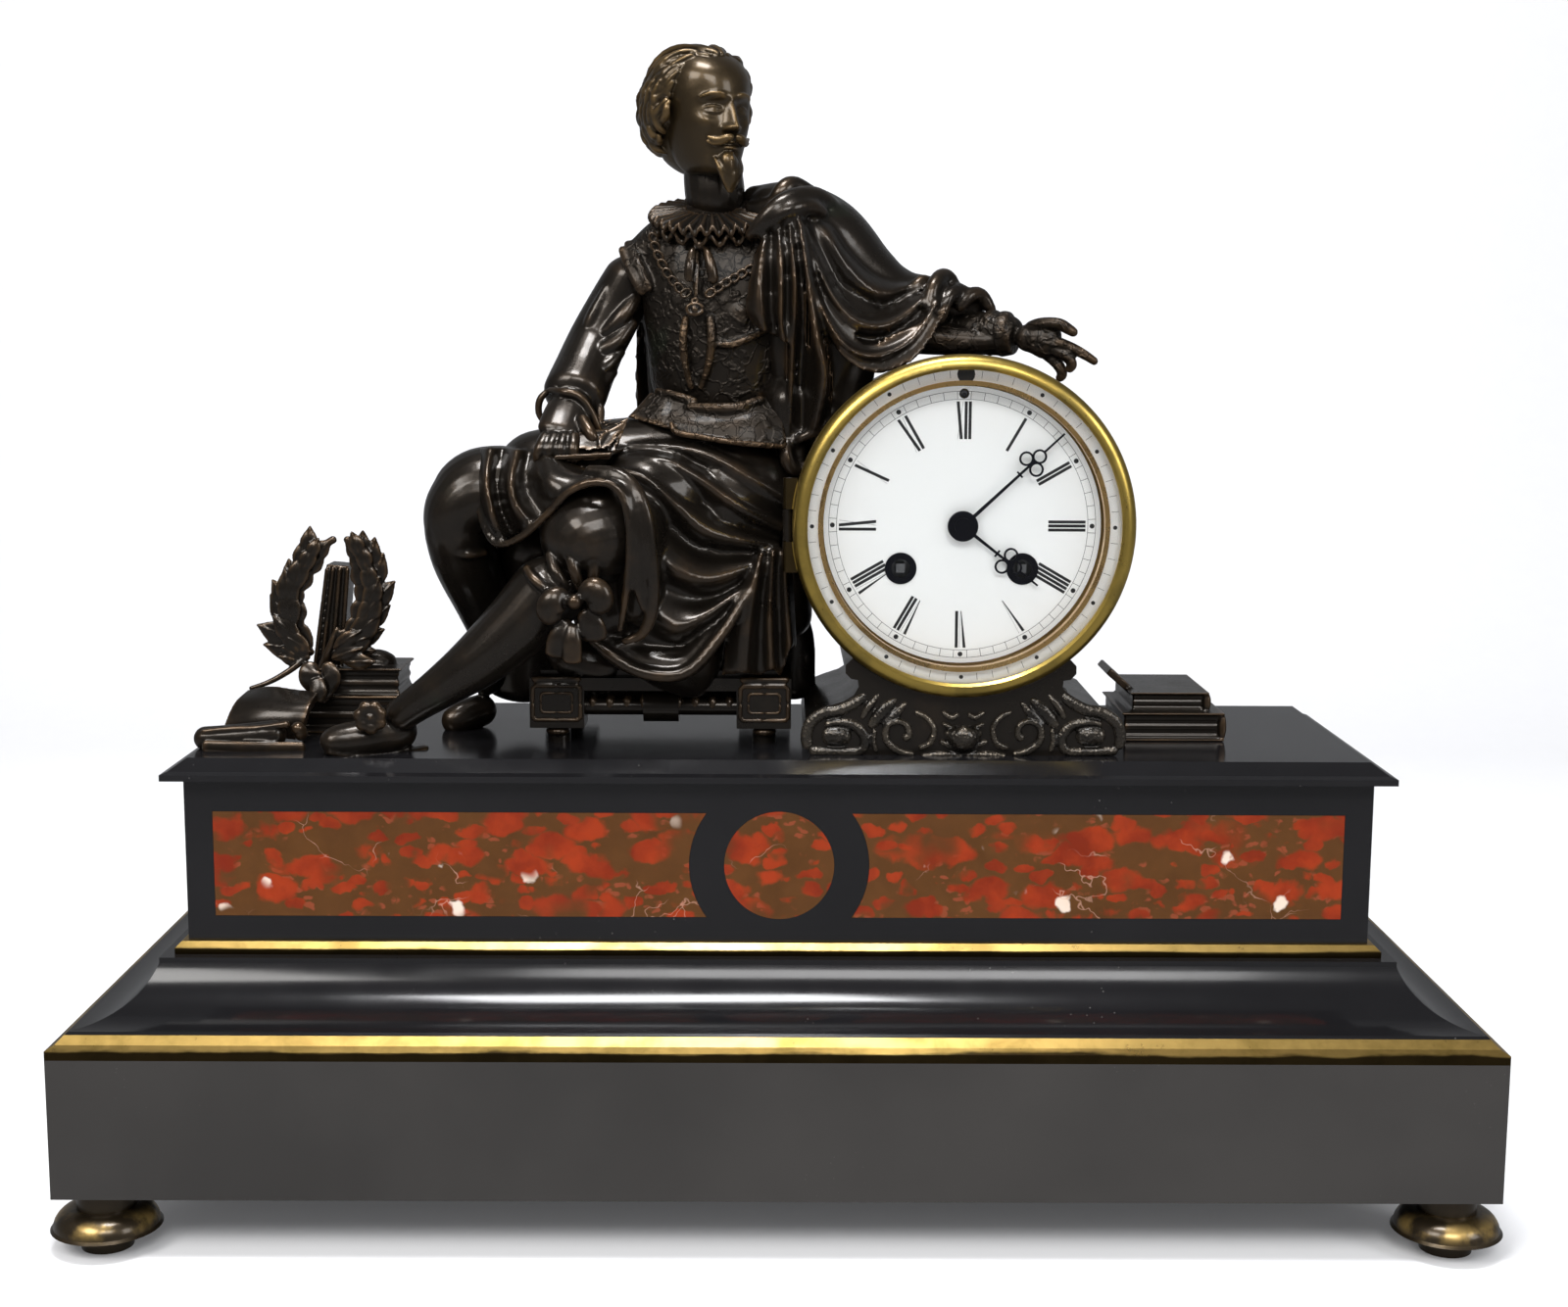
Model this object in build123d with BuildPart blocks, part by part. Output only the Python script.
from build123d import *
from math import atan2, cos, degrees, hypot, pi, radians, sin, sqrt
import os

os.makedirs("parts", exist_ok=True)

# Millimetres, +Z up, the front towards -Y, the origin on the table under the middle of the base.

# Driving sizes of the base
base_width = 540.0
base_depth = 215.0
foot_height = 24.0
bottom_slab_thickness = 14.0
slate_wall = 20.0
block_height = 53.7
lower_gilt_height = 7.9
lower_gilt_face = 3.4
cavetto_height = 19.4
cavetto_step_height = 2.0
upper_gilt_height = 4.6
plinth_height = 62.0
cap_height = 9.0
cap_edge_height = 2.4

# How far each stage stands back from the faces of the block
cavetto_foot_inset = 5.8
cavetto_top_inset = 33.8
upper_gilt_inset = 38.5
plinth_inset = 42.9
cap_edge_inset = 35.7
cap_top_inset = 44.2
gilt_seat_width = 10.0
mitre_gap = 0.06
overrun = 1.0

block_bottom = foot_height
block_top = block_bottom + block_height
cavetto_bottom = block_top + lower_gilt_height
cavetto_top = cavetto_bottom + cavetto_height
upper_gilt_bottom = cavetto_top + cavetto_step_height
plinth_bottom = upper_gilt_bottom + upper_gilt_height
plinth_top = plinth_bottom + plinth_height
slab_top = plinth_top + cap_height
half_width = base_width / 2
half_depth = base_depth / 2

# Feet
foot_disc_radius = 20.7
foot_pad_radius = 9.7
foot_pad_height = 6.0
foot_rim_height = 8.0
foot_dome_height = 15.0
foot_neck_radius = 11.0
foot_overhang = 5.0
foot_stud_radius = 3.0
foot_stud_length = 22.0
foot_x = half_width + foot_overhang - foot_disc_radius
foot_y = half_depth + foot_overhang - foot_disc_radius

# Inlaid marble
inlay_height = 41.0
inlay_depth = 5.0
inlay_clearance = 0.1
inlay_end_margin = 10.6
inlay_arc_radius = 34.5
roundel_radius = 21.2
inlay_centre_drop = 1.0
inlay_chord = 30.5

# The clock drum
drum_x = 69.6
drum_z = 271.0
drum_radius = 62.0
drum_wall = 1.5
drum_front = -48.0
drum_back = 46.0
drum_lip = 2.5
drum_lip_thickness = 1.5
bezel_radius = 65.2
bezel_face_width = 5.7
bezel_inner_radius = bezel_radius - bezel_face_width
bezel_depth = 12.0
bezel_crown = 4.4
glass_thickness = 2.0
glass_setback = 2.6
glass_seat = 1.4
glass_bevel = 1.0
glass_bevel_width = 4.5
margin_width = 4.1
sight_ring_width = 1.8
sight_ring_outer = bezel_inner_radius - margin_width
sight_ring_inner = sight_ring_outer - sight_ring_width
sight_ring_depth = 4.0
margin_ring_thickness = 1.2
margin_ring_fit = 0.05

# Dial and hands
dial_radius = 53.2
dial_thickness = 2.0
dial_front = -46.0
pan_thickness = 1.5
pan_clearance = 0.1
dial_centre_hole = 4.6
winding_x = 23.4
winding_drop = 16.6
winding_hole = 5.6
collet_inner = 3.6
collet_rim = 6.1
collet_rim_height = 0.5
regulator_rise = 50.3
regulator_hole = 1.9
minute_hand_length = 52.0
hour_hand_length = 37.0
hand_thickness = 0.6
hand_angle_minute = 47.0
hand_angle_hour = 128.0
hand_boss_radius = 5.8
hand_ring_radius = 2.8
hand_ring_bore = 2.0
hand_width = 1.5
minute_hand_back = -49.8
hour_hand_back = -48.2
minute_boss_height = 1.4

# Movement
plate_radius = 52.0
plate_thickness = 2.0
front_plate_front = -34.0
plate_spacing = 40.0
pillar_radius = 2.4
pillar_circle = 48.0
pillar_angles = (20, 160, 250, 290)
pan_feet_angles = (35, 145, 215, 325)
pan_feet_circle = 50.0
pivot_clearance = 0.05
wheel_thickness = 1.5
barrel_radius = 19.0
barrel_length = 24.0
barrel_teeth = 80
centre_pinion_teeth = 12
centre_wheel_teeth = 64
third_pinion_teeth = 8
third_wheel_teeth = 60
escape_pinion_teeth = 8
escape_teeth = 30
cannon_teeth = 12
minute_wheel_teeth = 36
minute_pinion_teeth = 10
hour_wheel_teeth = 40
train_module = 0.5
motion_distance = 12.0
arbor_radius = 1.2
pivot_radius = 0.8
winding_arbor_radius = 2.6
winding_square = 3.4
escape_wheel_radius = 9.0
anchor_rise = 44.0
pendulum_y = 17.0
pendulum_drop = 74.0
pendulum_rod_radius = 1.0
bob_radius = 11.0
bob_thickness = 7.0
bob_edge = 1.5
bell_radius = 28.0
bell_depth = 11.0
bell_wall = 1.6
bell_x = 12.0
bell_z = 4.0
bell_front = 26.0
hammer_x = 34.0
hammer_z = 24.0

# The figure: every place below is a share of the sitting height, seat to crown
sitting_height = 200.0
figure_drum_gap = 37.6
drum_left = drum_x - drum_radius
figure_x = drum_left - figure_drum_gap
figure_y = 0.0

# The stool: its place in x is measured from the drum, its depth from the edges of the top slab
stool_width = 103.0
stool_drum_gap = 3.1
stool_front_room = 30.3
stool_back_room = 22.3
stool_block_width = 21.5
stool_block_depth = 16.0
top_half_depth = half_depth - cap_top_inset
stool_right = drum_left - stool_drum_gap
stool_left = stool_right - stool_width
stool_front = stool_front_room - top_half_depth
stool_back = top_half_depth - stool_back_room
stool_depth = stool_back - stool_front
stool_x = (stool_left + stool_right) / 2
stool_y = (stool_front + stool_back) / 2
block_spacing_x = stool_width - stool_block_width
block_spacing_y = stool_depth - stool_block_depth


def front_plane(depth):
    """The plane that faces the viewer at a given depth, centred on the drum, local y upwards."""
    return Plane(origin=(drum_x, depth, drum_z), x_dir=(1, 0, 0), z_dir=(0, -1, 0))


def finish(builder, name):
    """Labels a finished piece and writes it."""
    builder.part.label = name
    export_step(builder.part, f"parts/{name}.step")


# Base: turned feet, each with the stud that is cemented up into the slate
foot_places = [(sx * foot_x, sy * foot_y) for sx in (-1, 1) for sy in (-1, 1)]
foot_stud_top = block_bottom + foot_stud_length
with BuildPart() as base_feet:
    with BuildSketch(Plane.XZ):
        with BuildLine():
            Polyline((0, 0), (foot_pad_radius, 0), (foot_pad_radius, foot_pad_height),
                     (foot_disc_radius - foot_pad_height, foot_pad_height),
                     (foot_disc_radius, foot_rim_height))
            Line((foot_disc_radius, foot_rim_height), (foot_disc_radius - overrun, foot_rim_height + overrun))
            ThreePointArc((foot_disc_radius - overrun, foot_rim_height + overrun),
                          ((foot_disc_radius + foot_neck_radius) / 2, foot_dome_height),
                          (foot_neck_radius, foot_dome_height + overrun))
            Polyline((foot_neck_radius, foot_dome_height + overrun), (foot_neck_radius, foot_height),
                     (foot_stud_radius, foot_height), (foot_stud_radius, foot_stud_top),
                     (0, foot_stud_top), (0, 0))
        make_face()
    revolve(axis=Axis.Z)
    one_foot = base_feet.part
feet = [Pos(x, y, 0) * one_foot for x, y in foot_places]
with BuildPart() as base_feet:
    add(feet)
finish(base_feet, "base_feet")

# Base: slate slabs that make the block
with BuildPart() as bottom_slab:
    with BuildSketch(Plane.XY.offset(block_bottom)):
        Rectangle(base_width - 2 * slate_wall, base_depth - 2 * slate_wall)
    extrude(amount=bottom_slab_thickness)
finish(bottom_slab, "bottom_slab")

plinth_width = base_width - 2 * plinth_inset
plinth_depth = base_depth - 2 * plinth_inset
plinth_front = -plinth_depth / 2
plinth_back_slab_y = (plinth_depth - slate_wall) / 2
with BuildPart() as block_front_slab:
    with BuildSketch(Plane.XY.offset(block_bottom)):
        with Locations((0, -(base_depth - slate_wall) / 2)):
            Rectangle(base_width, slate_wall)
    extrude(amount=block_height)
    with BuildSketch(Plane.XY.offset(block_bottom)):
        with GridLocations(2 * foot_x, 2 * foot_y, 2, 2):
            Circle(foot_stud_radius)
    extrude(amount=foot_stud_length, mode=Mode.SUBTRACT)
finish(block_front_slab, "block_front_slab")

with BuildPart() as back_slabs:
    with BuildSketch(Plane.XY.offset(block_bottom)):
        with Locations((0, (base_depth - slate_wall) / 2)):
            Rectangle(base_width, slate_wall)
    extrude(amount=block_height)
    with BuildSketch(Plane.XY.offset(block_bottom)):
        with GridLocations(2 * foot_x, 2 * foot_y, 2, 2):
            Circle(foot_stud_radius)
    extrude(amount=foot_stud_length, mode=Mode.SUBTRACT)
    with BuildSketch(Plane.XY.offset(plinth_bottom)):
        with Locations((0, plinth_back_slab_y)):
            Rectangle(plinth_width, slate_wall)
    extrude(amount=plinth_height)
finish(back_slabs, "back_slabs")

with BuildPart() as end_slabs:
    with BuildSketch(Plane.XY.offset(block_bottom)):
        with GridLocations(base_width - slate_wall, 0, 2, 1):
            Rectangle(slate_wall, base_depth - 2 * slate_wall)
    extrude(amount=block_height)
    with BuildSketch(Plane.XY.offset(plinth_bottom)):
        with GridLocations(plinth_width - slate_wall, 0, 2, 1):
            Rectangle(slate_wall, plinth_depth - 2 * slate_wall)
    extrude(amount=plinth_height)
finish(end_slabs, "end_slabs")


def stage_profile(half, points, curved):
    """A stage's section from (inset, height) corners, mirrored; one stretch may be a hollow arc."""
    places = [(half - inset, height) for inset, height in points]
    with BuildSketch(mode=Mode.PRIVATE) as section:
        with BuildLine():
            for first, second in zip(places, places[1:]):
                if curved and first == places[curved[0]]:
                    ThreePointArc(first, (half - curved[1][0], curved[1][1]), second)
                else:
                    Line(first, second)
            Line(places[-1], (0, places[-1][1]))
            Line((0, places[-1][1]), (0, places[0][1]))
            Line((0, places[0][1]), places[0])
        make_face()
        mirror(about=Plane.YZ)
    return section.sketch


def stage(points, curved=None):
    """A four-sided moulded stage of the base: the section run along X, cut by the one run along Y."""
    along_x = stage_profile(half_depth, points, curved)
    along_y = stage_profile(half_width, points, curved)
    with BuildPart() as moulded:
        extrude(Plane.YZ * along_x, amount=half_width, both=True)
        extrude(Plane.XZ * along_y, amount=half_depth, both=True, mode=Mode.INTERSECT)
    return moulded.part


gilt_rebate_inset = gilt_seat_width + overrun
upper_rebate_inset = upper_gilt_inset + gilt_seat_width
cavetto_points = [
    (gilt_rebate_inset, block_top),
    (gilt_rebate_inset, cavetto_bottom),
    (cavetto_foot_inset, cavetto_bottom),
    (cavetto_foot_inset + overrun, cavetto_bottom + overrun),
    (cavetto_top_inset, cavetto_top),
    (cavetto_top_inset, upper_gilt_bottom),
    (upper_rebate_inset, upper_gilt_bottom),
    (upper_rebate_inset, plinth_bottom),
]
cavetto_run = cavetto_top_inset - cavetto_foot_inset
cavetto_sag_share = 0.66
cavetto_mid = (
    cavetto_foot_inset + cavetto_sag_share * cavetto_run,
    cavetto_top - cavetto_sag_share * cavetto_height,
)
cavetto_part = stage(cavetto_points, (3, cavetto_mid))
with BuildPart() as cavetto_slab:
    add(cavetto_part)
finish(cavetto_slab, "cavetto_slab")

# Gilt strips: mitred mouldings that stand in rebates of the slate
lower_strip = stage(
    [
        (0, block_top),
        (0, block_top + lower_gilt_face),
        (cavetto_foot_inset / 2, cavetto_bottom - cavetto_foot_inset / 2),
        (cavetto_foot_inset, cavetto_bottom),
        (gilt_rebate_inset, cavetto_bottom),
    ]
)
upper_strip = stage(
    [
        (upper_gilt_inset, upper_gilt_bottom),
        (upper_gilt_inset, upper_gilt_bottom + upper_gilt_height / 2),
        (upper_gilt_inset + upper_gilt_height / 2, plinth_bottom),
        (upper_rebate_inset, plinth_bottom),
    ]
)
mitre_length = 4 * cavetto_run
for name, strip, inset, low, high in (
    ("lower_gilt_strips", lower_strip, gilt_rebate_inset, block_top, cavetto_bottom),
    ("upper_gilt_strips", upper_strip, upper_rebate_inset, upper_gilt_bottom, plinth_bottom),
):
    with BuildPart() as strips:
        add(strip)
        with BuildSketch(Plane.XY.offset(low)):
            Rectangle(base_width - 2 * inset, base_depth - 2 * inset)
        extrude(amount=high - low, mode=Mode.SUBTRACT)
        with BuildSketch(Plane.XY.offset(low)):
            for sx in (-1, 1):
                for sy in (-1, 1):
                    corner = (sx * (half_width - inset), sy * (half_depth - inset))
                    with Locations(Location((*corner, 0), (0, 0, sx * sy * 45))):
                        Rectangle(mitre_length, mitre_gap)
        extrude(amount=high - low, mode=Mode.SUBTRACT)
    finish(strips, name)

# Plinth: four slabs, the front one recessed for the marble
inlay_z = (plinth_bottom + plinth_top) / 2 - inlay_centre_drop
inlay_outer_x = plinth_width / 2 - inlay_end_margin
face_plane = Plane(origin=(0, plinth_front, inlay_z), x_dir=(1, 0, 0), z_dir=(0, -1, 0))


def inlay_outline(side, margin):
    """A marble panel's outline: straight at the outer end, hollowed round the roundel at the inner end."""
    outer = side * (inlay_outer_x - margin)
    top = inlay_height / 2 - margin
    radius = inlay_arc_radius + margin
    inner = side * sqrt(radius**2 - top**2)
    Line((outer, -top), (outer, top))
    Line((outer, top), (inner, top))
    ThreePointArc((inner, top), (side * radius, 0), (inner, -top))
    Line((inner, -top), (outer, -top))


with BuildPart() as plinth_front_slab:
    with BuildSketch(Plane.XY.offset(plinth_bottom)):
        with Locations((0, plinth_front + slate_wall / 2)):
            Rectangle(plinth_width, slate_wall)
    extrude(amount=plinth_height)
    with BuildSketch(face_plane):
        for side in (-1, 1):
            with BuildLine():
                inlay_outline(side, 0)
            make_face()
        Circle(roundel_radius)
    extrude(amount=-inlay_depth, mode=Mode.SUBTRACT)
finish(plinth_front_slab, "plinth_front_slab")

for name, side in (("inlay_left", -1), ("inlay_right", 1)):
    with BuildPart() as inlay:
        with BuildSketch(face_plane):
            with BuildLine():
                inlay_outline(side, inlay_clearance)
            make_face()
        extrude(amount=-inlay_depth)
    finish(inlay, name)

with BuildPart() as inlay_roundel:
    with BuildSketch(face_plane):
        Circle(roundel_radius - inlay_clearance)
    extrude(amount=-inlay_depth)
finish(inlay_roundel, "inlay_roundel")

# Top slab, drilled for the fixing studs of the bronzes
cap_under_height = 1.4
cap_slope_inset = 38.2
cap_slope_height = 4.7
fixing_stud_radius = 2.5
fixing_clearance = 0.3
fixing_nut_across = 10.0
fixing_nut_height = 4.0
fixing_stud_length = cap_height + fixing_nut_height + overrun
stand_stud_spacing = 84.0
stool_stud_y = stool_y + block_spacing_y / 2
stand_stud_y = -12.0
stud_places = [
    (drum_x - stand_stud_spacing / 2, stand_stud_y),
    (drum_x + stand_stud_spacing / 2, stand_stud_y),
    (stool_x - block_spacing_x / 2, stool_stud_y),
    (stool_x + block_spacing_x / 2, stool_stud_y),
]
cap_part = stage(
    [
        (plinth_inset, plinth_top),
        (cap_edge_inset, plinth_top + cap_under_height),
        (cap_edge_inset, plinth_top + cap_under_height + cap_edge_height),
        (cap_slope_inset, plinth_top + cap_slope_height),
        (cap_top_inset, slab_top),
    ]
)
with BuildPart() as top_slab:
    add(cap_part)
    with BuildSketch(Plane.XY.offset(plinth_top)):
        with Locations(*stud_places):
            Circle(fixing_stud_radius + fixing_clearance)
    extrude(amount=cap_height, mode=Mode.SUBTRACT)
finish(top_slab, "top_slab")

with BuildPart() as fixing_nuts:
    with BuildSketch(Plane.XY.offset(plinth_top)):
        with Locations(*stud_places):
            RegularPolygon(fixing_nut_across / 2, 6)
            Circle(fixing_stud_radius, mode=Mode.SUBTRACT)
    extrude(amount=-fixing_nut_height)
finish(fixing_nuts, "fixing_nuts")


def stud_circles(places):
    """The sections of screwed studs cast into the underside of a bronze, at the top of the slab."""
    with BuildSketch(Plane.XY.offset(slab_top), mode=Mode.PRIVATE) as circles:
        with Locations(*places):
            Circle(fixing_stud_radius)
    return circles.sketch


# Scroll stand: two scrolled feet, waisted necks and horns under the drum, hollow behind for the bob
stand_half_width = 60.4
stand_front = -52.0
stand_back = 30.0
stand_bezel_clearance = 0.6
stand_bay_half_width = 26.0
stand_bay_front = 2.0
stand_floor = 2.0
stand_drop = drum_z - slab_top
# The right half of the outline, from the base upwards, as shares of the half width and of the stand's drop
stand_outline_shares = [
    (0.0, 1.0), (0.955, 1.0), (1.0, 0.93), (0.985, 0.86), (0.93, 0.81), (0.84, 0.785),
    (0.74, 0.762), (0.68, 0.735), (0.65, 0.70), (0.655, 0.67), (0.70, 0.665), (0.735, 0.64),
    (0.735, 0.605), (0.70, 0.58), (0.66, 0.56), (0.60, 0.50), (0.0, 0.50),
]
with BuildPart() as scroll_stand:
    with BuildSketch(front_plane(stand_back)):
        with BuildLine():
            Polyline(*[(x * stand_half_width, -z * stand_drop) for x, z in stand_outline_shares], close=True)
        make_face()
        mirror(about=Plane.YZ)
    extrude(amount=stand_back - stand_front)
    with BuildSketch(front_plane(stand_back + overrun)):
        Circle(drum_radius)
    extrude(amount=stand_back - stand_front + 2 * overrun, mode=Mode.SUBTRACT)
    with BuildSketch(front_plane(drum_front + stand_bezel_clearance)):
        Circle(bezel_radius + stand_bezel_clearance)
    extrude(amount=stand_back, mode=Mode.SUBTRACT)
    with BuildSketch(Plane.XY.offset(slab_top + stand_floor)):
        with Locations((drum_x, (stand_bay_front + stand_back + overrun) / 2)):
            Rectangle(2 * stand_bay_half_width, stand_back + overrun - stand_bay_front)
    extrude(amount=stand_drop, mode=Mode.SUBTRACT)
    extrude(stud_circles(stud_places[:2]), amount=-fixing_stud_length)
finish(scroll_stand, "scroll_stand")

# Drum case: a tube with a lip that seats the dial pan, a slot for the pendulum and two hinge knuckles
hinge_pin_radius = 1.0
hinge_clearance = 0.05
knuckle_radius = 2.2
knuckle_gap = 0.3
front_hinge_gap = 1.4
front_hinge_x = -(bezel_radius + front_hinge_gap)
front_hinge_y = -45.4
front_knuckle_half = 6.0
front_hinge_half = 18.0
back_hinge_gap = 2.6
back_hinge_x = drum_radius + back_hinge_gap
back_hinge_y = 47.6
back_knuckle_half = 5.0
back_hinge_half = 12.0
front_web_x = (front_hinge_x - drum_radius + drum_wall) / 2
back_web_x = (back_hinge_x + drum_radius - drum_wall) / 2
slot_half_width = 14.0
slot_front = 8.0
slot_back = 26.0
door_margin = 3.0
door_radius = drum_radius - door_margin
door_thickness = 1.6
door_rim = 3.0
pan_back = dial_front + dial_thickness + pan_thickness


def knuckle(x, y, low, radius):
    """The round section of a hinge knuckle at x from the drum's axis, at the depth y and the height low."""
    with BuildSketch(Plane.XY.offset(drum_z + low), mode=Mode.PRIVATE) as section:
        with Locations((drum_x + x, y)):
            Circle(radius)
    return section.sketch


with BuildPart() as drum_case:
    with BuildSketch(front_plane(drum_back)):
        Circle(drum_radius)
        Circle(drum_radius - drum_wall, mode=Mode.SUBTRACT)
    extrude(amount=drum_back - drum_front)
    with BuildSketch(front_plane(pan_back + drum_lip_thickness)):
        Circle(drum_radius - drum_wall)
        Circle(drum_radius - drum_wall - drum_lip, mode=Mode.SUBTRACT)
    extrude(amount=drum_lip_thickness)
    with BuildSketch(front_plane(drum_back)):
        Circle(drum_radius - drum_wall)
        Circle(drum_radius - drum_wall - door_rim, mode=Mode.SUBTRACT)
    extrude(amount=drum_lip_thickness)
    with BuildSketch(Plane.XY.offset(drum_z - drum_radius - overrun)):
        with Locations((drum_x, (slot_front + slot_back) / 2)):
            Rectangle(2 * slot_half_width, slot_back - slot_front)
    extrude(amount=drum_radius / 2, mode=Mode.SUBTRACT)
    extrude(
        knuckle(front_hinge_x, front_hinge_y, -front_knuckle_half, knuckle_radius),
        amount=2 * front_knuckle_half,
    )
    with BuildSketch(Plane.XY.offset(drum_z - front_knuckle_half)):
        with Locations((drum_x + front_web_x, front_hinge_y + knuckle_radius / 2)):
            Rectangle(-front_hinge_x - drum_radius + drum_wall, knuckle_radius)
    extrude(amount=2 * front_knuckle_half)
    extrude(
        knuckle(back_hinge_x, back_hinge_y, -back_knuckle_half, knuckle_radius),
        amount=2 * back_knuckle_half,
    )
    with BuildSketch(Plane.XY.offset(drum_z - back_knuckle_half)):
        with Locations((drum_x + back_web_x, back_hinge_y - knuckle_radius)):
            Rectangle(back_hinge_x - drum_radius + drum_wall, knuckle_radius)
    extrude(amount=2 * back_knuckle_half)
    extrude(
        knuckle(front_hinge_x, front_hinge_y, -front_knuckle_half, hinge_pin_radius),
        amount=2 * front_knuckle_half,
        mode=Mode.SUBTRACT,
    )
    extrude(
        knuckle(back_hinge_x, back_hinge_y, -back_knuckle_half, hinge_pin_radius),
        amount=2 * back_knuckle_half,
        mode=Mode.SUBTRACT,
    )
finish(drum_case, "drum_case")

with BuildPart() as hinge_pins:
    extrude(
        knuckle(front_hinge_x, front_hinge_y, -front_hinge_half, hinge_pin_radius),
        amount=2 * front_hinge_half,
    )
    extrude(
        knuckle(back_hinge_x, back_hinge_y, -back_hinge_half, hinge_pin_radius),
        amount=2 * back_hinge_half,
    )
finish(hinge_pins, "hinge_pins")

# Bezel: a turned ring with its own knuckles, the bevelled glass and the two inner rings
bezel_front = drum_front - bezel_depth
glass_front = bezel_front + glass_setback
bezel_bore = bezel_inner_radius + glass_seat
bezel_web = 4.4
with BuildPart() as bezel_ring:
    with BuildSketch(Plane(origin=(drum_x, 0, drum_z), x_dir=(1, 0, 0), z_dir=(0, 0, 1))):
        with BuildLine():
            Polyline(
                (bezel_radius - bezel_crown, bezel_front),
                (bezel_inner_radius + overrun, bezel_front),
                (bezel_inner_radius, bezel_front + overrun),
                (bezel_inner_radius, glass_front),
                (bezel_bore, glass_front),
                (bezel_bore, drum_front),
                (bezel_radius, drum_front),
                (bezel_radius, bezel_front + bezel_crown),
            )
            RadiusArc(
                (bezel_radius, bezel_front + bezel_crown),
                (bezel_radius - bezel_crown, bezel_front),
                bezel_crown,
            )
        make_face()
    revolve(axis=Axis((drum_x, 0, drum_z), (0, 1, 0)))
    for low in (-front_hinge_half, front_knuckle_half + knuckle_gap):
        height = front_hinge_half - front_knuckle_half - knuckle_gap
        extrude(knuckle(front_hinge_x, front_hinge_y, low, knuckle_radius), amount=height)
        with BuildSketch(Plane.XY.offset(drum_z + low)):
            with Locations((drum_x + front_hinge_x + bezel_web / 2 - overrun, front_hinge_y - bezel_web / 2)):
                Rectangle(bezel_web, bezel_web)
        extrude(amount=height)
        extrude(
            knuckle(front_hinge_x, front_hinge_y, low, hinge_pin_radius + hinge_clearance),
            amount=height,
            mode=Mode.SUBTRACT,
        )
finish(bezel_ring, "bezel_ring")

glass_radius = bezel_bore - margin_ring_fit
glass_back = glass_front + glass_thickness
with BuildPart() as bezel_glass:
    with BuildSketch(Plane(origin=(drum_x, 0, drum_z), x_dir=(1, 0, 0), z_dir=(0, 0, 1))):
        with BuildLine():
            Polyline(
                (0, glass_front),
                (glass_radius - glass_bevel_width, glass_front),
                (glass_radius, glass_front + glass_bevel),
                (glass_radius, glass_back),
                (0, glass_back),
                close=True,
            )
        make_face()
    revolve(axis=Axis((drum_x, 0, drum_z), (0, 1, 0)))
finish(bezel_glass, "bezel_glass")

rings_back = glass_back + sight_ring_depth
with BuildPart() as sight_ring:
    with BuildSketch(front_plane(rings_back)):
        Circle(sight_ring_outer)
        Circle(sight_ring_inner, mode=Mode.SUBTRACT)
    extrude(amount=sight_ring_depth)
finish(sight_ring, "sight_ring")

with BuildPart() as margin_ring:
    with BuildSketch(front_plane(rings_back)):
        Circle(bezel_bore)
        Circle(sight_ring_outer, mode=Mode.SUBTRACT)
    extrude(amount=margin_ring_thickness)
finish(margin_ring, "margin_ring")

# Back door on its own knuckles
door_web = 4.0
with BuildPart() as back_door:
    with BuildSketch(front_plane(drum_back + door_thickness)):
        Circle(door_radius)
    extrude(amount=door_thickness)
    for low in (-back_hinge_half, back_knuckle_half + knuckle_gap):
        height = back_hinge_half - back_knuckle_half - knuckle_gap
        extrude(knuckle(back_hinge_x, back_hinge_y, low, knuckle_radius), amount=height)
        with BuildSketch(Plane.XY.offset(drum_z + low)):
            with Locations((drum_x + back_hinge_x - door_web, drum_back + door_thickness / 2)):
                Rectangle(2 * door_web, door_thickness)
        extrude(amount=height)
        extrude(
            knuckle(back_hinge_x, back_hinge_y, low, hinge_pin_radius + hinge_clearance),
            amount=height,
            mode=Mode.SUBTRACT,
        )
finish(back_door, "back_door")

# Dial pan with its feet, the enamel dial, and the collets of the winding holes
winding_places = [(-winding_x, -winding_drop), (winding_x, -winding_drop)]
pan_front = dial_front + dial_thickness
pan_radius = drum_radius - drum_wall - pan_clearance
pan_foot_radius = 2.3
with BuildPart() as dial_pan:
    with BuildSketch(front_plane(pan_back)):
        Circle(pan_radius)
        Circle(dial_centre_hole, mode=Mode.SUBTRACT)
        with Locations(*winding_places):
            Circle(winding_hole, mode=Mode.SUBTRACT)
        with Locations((0, regulator_rise)):
            Circle(regulator_hole, mode=Mode.SUBTRACT)
    extrude(amount=pan_thickness)
    with BuildSketch(front_plane(front_plate_front)):
        for angle in pan_feet_angles:
            with PolarLocations(pan_feet_circle, 1, angle):
                Circle(pan_foot_radius)
    extrude(amount=front_plate_front - pan_back)
finish(dial_pan, "dial_pan")

with BuildPart() as dial:
    with BuildSketch(front_plane(pan_front)):
        Circle(dial_radius)
        Circle(dial_centre_hole, mode=Mode.SUBTRACT)
        with Locations(*winding_places):
            Circle(winding_hole, mode=Mode.SUBTRACT)
        with Locations((0, regulator_rise)):
            Circle(regulator_hole, mode=Mode.SUBTRACT)
    extrude(amount=dial_thickness)
finish(dial, "dial")

collet_fit = 0.05
with BuildPart() as winding_collets:
    with BuildSketch(front_plane(pan_front)):
        with Locations(*winding_places):
            Circle(winding_hole - collet_fit)
            Circle(collet_inner, mode=Mode.SUBTRACT)
    extrude(amount=dial_thickness)
    with BuildSketch(front_plane(dial_front)):
        with Locations(*winding_places):
            Circle(collet_rim)
            Circle(collet_inner, mode=Mode.SUBTRACT)
    extrude(amount=collet_rim_height)
finish(winding_collets, "winding_collets")

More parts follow.
